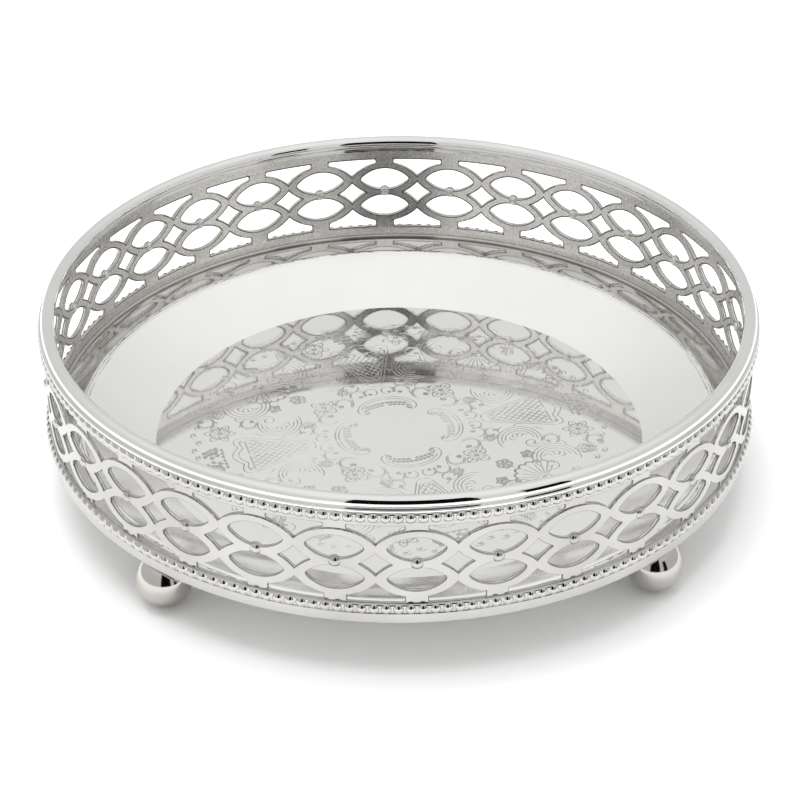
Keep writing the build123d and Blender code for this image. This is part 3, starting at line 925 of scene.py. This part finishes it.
def build_dish():
    """One sheet: an engraved floor, a curved wall, a shoulder and a sloping ledge."""
    points, triangles, engraved = engraved_wedge()
    parts, faces, count = [], [], 0
    for k in range(8):
        flip = k % 2
        copy = points * (1, -1, 1) if flip else points
        turn = turn_matrix(PATTERN_TURN + 90 * ((k + 1) // 2))
        parts.append(copy @ turn.T)
        faces.append((triangles[:, ::-1] if flip else triangles) + count)
        count += len(points)
    floor, floor_faces = np.concatenate(parts), np.concatenate(faces)

    upper = (bowed((FLOOR_R, FLOOR_TOP_Z), (COVE_OUT_R, COVE_TOP_Z), COVE_SAGITTA, COVE_ROWS + 1)
             + bowed((COVE_OUT_R, COVE_TOP_Z), (SHOULDER_OUT_R, SHOULDER_OUT_Z), -SHOULDER_SAGITTA,
                     SHOULDER_ROWS + 1)[1:]
             + [tuple(p) for p in np.linspace((SHOULDER_OUT_R, SHOULDER_OUT_Z),
                                              (LEDGE_OUT_R, LEDGE_OUT_Z), LEDGE_ROWS + 1)[1:]])
    under_z = FLOOR_TOP_Z - SHEET
    lower = ([(LEDGE_OUT_R, LEDGE_OUT_Z - LEDGE_EDGE),
              (SHOULDER_OUT_R + UNDER_SHOULDER_OUT, SHOULDER_OUT_Z - SHEET)]
             + bowed((COVE_OUT_R + UNDER_COVE_OUT, COVE_TOP_Z - SHEET),
                     (FLOOR_R + UNDER_FLOOR_OUT, under_z), -COVE_SAGITTA, 16)
             + [(r, under_z) for r in (70, 45, 20, 4)])
    profile = upper + lower
    wall, wall_faces = lathe_mesh(profile, SEGMENTS, closed=False)
    turn = turn_matrix(PATTERN_TURN)
    wall = wall @ turn.T
    middle = [tuple(reversed(range(len(wall) - SEGMENTS, len(wall))))]
    wall_faces = [tuple(reversed(face)) for face in wall_faces]
    vertices = np.concatenate([floor, wall])
    faces = [tuple(f) for f in floor_faces] + [tuple(v + len(floor) for v in f) for f in wall_faces + middle]
    slots = np.zeros(len(faces), int)
    slots[:len(floor_faces)] = np.tile(engraved, 8) * DISH_SLOTS.index(ENGRAVED)
    cove = len(floor_faces)
    ledge = cove + (COVE_ROWS + SHOULDER_ROWS) * SEGMENTS
    slots[cove:cove + COVE_ROWS * SEGMENTS] = DISH_SLOTS.index(COVE_SILVER)
    slots[ledge:ledge + LEDGE_ROWS * SEGMENTS] = DISH_SLOTS.index(LEDGE_SILVER)
    piece = add_mesh("dish_engraved", vertices, faces, DISH_SLOTS, slots)
    weld(piece)
    piece.data.set_sharp_from_angle(angle=math.radians(8))
    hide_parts("dish")


def weld(piece):
    """Join the points that copies share, and face everything outwards."""
    mesh = bmesh.new()
    mesh.from_mesh(piece.data)
    bmesh.ops.remove_doubles(mesh, verts=mesh.verts, dist=1.5e-6)
    bmesh.ops.recalc_face_normals(mesh, faces=mesh.faces)
    mesh.to_mesh(piece.data)
    mesh.free()


build_gallery()
build_rim()
build_base()
build_beads("upper_bead_row", "upper_beaded_wire", UPPER_BEAD_Z)
build_beads("lower_bead_row", "lower_beaded_wire", LOWER_BEAD_Z)
build_studs()
build_feet()
build_dish()
for cad_name in [f"foot_{part}_{i + 1}" for part in ("peg", "cup") for i in range(4)]:
    cad_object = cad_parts[cad_name]
    cad_object.data.materials.clear()
    cad_object.data.materials.append(FOOT_SILVER)


# Stage

VIEW_AZIMUTH = -2.551      # the camera stands a little to the left of the front
VIEW_SIDE = 0.33
VIEW_BACK = 732.4          # level distance from the axis
VIEW_Z = 497.4
VIEW_PITCH = 32.86         # the camera looks down by this much
VIEW_ROLL = -0.174
LENS = 110.03
CARD_DISTANCE, CARD_BASE_Z = 700, 40
SIDE_GLOW, TOP_GLOW = 0.75, 0.96   # of the white studio at the sides and overhead
GLOW_START = 0.45          # height in the unit sphere round the plate where it starts to brighten


def place_camera():
    """The camera of the main view, from a little left of the front."""
    data = bpy.data.cameras.new("camera")
    data.lens = LENS
    data.sensor_width = 36
    data.clip_start, data.clip_end = 0.01, 20
    camera = bpy.data.objects.new("camera", data)
    bpy.context.scene.collection.objects.link(camera)
    azimuth = math.radians(VIEW_AZIMUTH)
    camera.location = Vector((math.sin(azimuth) * VIEW_BACK + math.cos(azimuth) * VIEW_SIDE,
                              -math.cos(azimuth) * VIEW_BACK + math.sin(azimuth) * VIEW_SIDE, VIEW_Z)) * MM
    turn = (Matrix.Rotation(azimuth, 4, "Z") @ Matrix.Rotation(math.radians(90 - VIEW_PITCH), 4, "X")
            @ Matrix.Rotation(math.radians(VIEW_ROLL), 4, "Z"))
    camera.rotation_euler = turn.to_euler()
    bpy.context.scene.camera = camera


def stage_patch(name, azimuths, elevations, material):
    """Part of a sphere about the plate, from one azimuth and elevation to another."""
    rows, columns, distance = 8, 16, CARD_DISTANCE
    vertices, faces = [], []
    for e in np.radians(np.linspace(*elevations, rows)):
        for a in np.radians(np.linspace(*azimuths, columns)):
            vertices.append((distance * math.cos(e) * math.sin(a), -distance * math.cos(e) * math.cos(a),
                             CARD_BASE_Z + distance * math.sin(e)))
    for i in range(rows - 1):
        for j in range(columns - 1):
            k = i * columns + j
            faces.append((k, k + 1, k + columns + 1, k + columns))
    mesh = bpy.data.meshes.new(name)
    mesh.from_pydata((np.array(vertices) * MM).tolist(), [], faces)
    mesh.materials.append(material)
    card = bpy.data.objects.new(name, mesh)
    bpy.context.scene.collection.objects.link(card)
    card.visible_camera = card.visible_diffuse = card.visible_shadow = False


def plain(name, colour):
    """A matt grey for the stage."""
    material = bpy.data.materials.new(name)
    material.use_nodes = True
    shader = material.node_tree.nodes["Principled BSDF"]
    shader.inputs["Base Color"].default_value = (colour, colour, colour, 1)
    shader.inputs["Roughness"].default_value = 1.0
    shader.inputs["Specular IOR Level"].default_value = 0.0
    return material


def lay_floor():
    """The white ground that the plate stands on."""
    mesh = bpy.data.meshes.new("floor")
    reach = 6.0
    mesh.from_pydata([(-reach, -reach, 0), (reach, -reach, 0), (reach, reach, 0), (-reach, reach, 0)],
                     [], [(0, 1, 2, 3)])
    mesh.materials.append(plain("floor_white", 0.95))
    floor = bpy.data.objects.new("floor", mesh)
    bpy.context.scene.collection.objects.link(floor)


def area_light(name, place, size, power):
    """A square light aimed at the plate, left out of reflections; in metres and watts."""
    data = bpy.data.lights.new(name, "AREA")
    data.shape = "RECTANGLE"
    data.size = data.size_y = size
    data.energy = power
    light = bpy.data.objects.new(name, data)
    bpy.context.scene.collection.objects.link(light)
    light.location = place
    light.visible_glossy = False
    light.rotation_euler = (-Vector(place)).to_track_quat("-Z", "Y").to_euler()


def light_world():
    """A white studio, a little brighter overhead."""
    world = bpy.data.worlds.new("studio")
    bpy.context.scene.world = world
    world.use_nodes = True
    tree = world.node_tree
    background = tree.nodes["Background"]
    background.inputs["Color"].default_value = (1, 1, 1, 1)
    split = tree.nodes.new("ShaderNodeSeparateXYZ")
    tree.links.new(tree.nodes.new("ShaderNodeTexCoord").outputs["Generated"], split.inputs["Vector"])
    glow = node(tree, "ShaderNodeMapRange", From_Min=GLOW_START, From_Max=1.0,
                To_Min=SIDE_GLOW, To_Max=TOP_GLOW)
    glow.interpolation_type = "SMOOTHSTEP"
    tree.links.new(split.outputs["Z"], glow.inputs["Value"])
    tree.links.new(glow.outputs["Result"], background.inputs["Strength"])


place_camera()
lay_floor()
light_world()
area_light("overhead_softbox", (0, 0.1, 1.3), 2.0, 3.0)
area_light("shadow_light", (-0.1, 0.05, 1.1), 0.8, 9.5)
card_black = plain("card_black", 0.002)
stage_patch("camera_side_card", (VIEW_AZIMUTH - 14, VIEW_AZIMUTH + 21), (-3, 46), card_black)
stage_patch("small_card", (VIEW_AZIMUTH + 33, VIEW_AZIMUTH + 46), (-3, 30), card_black)
bpy.context.scene.view_settings.view_transform = "Standard"
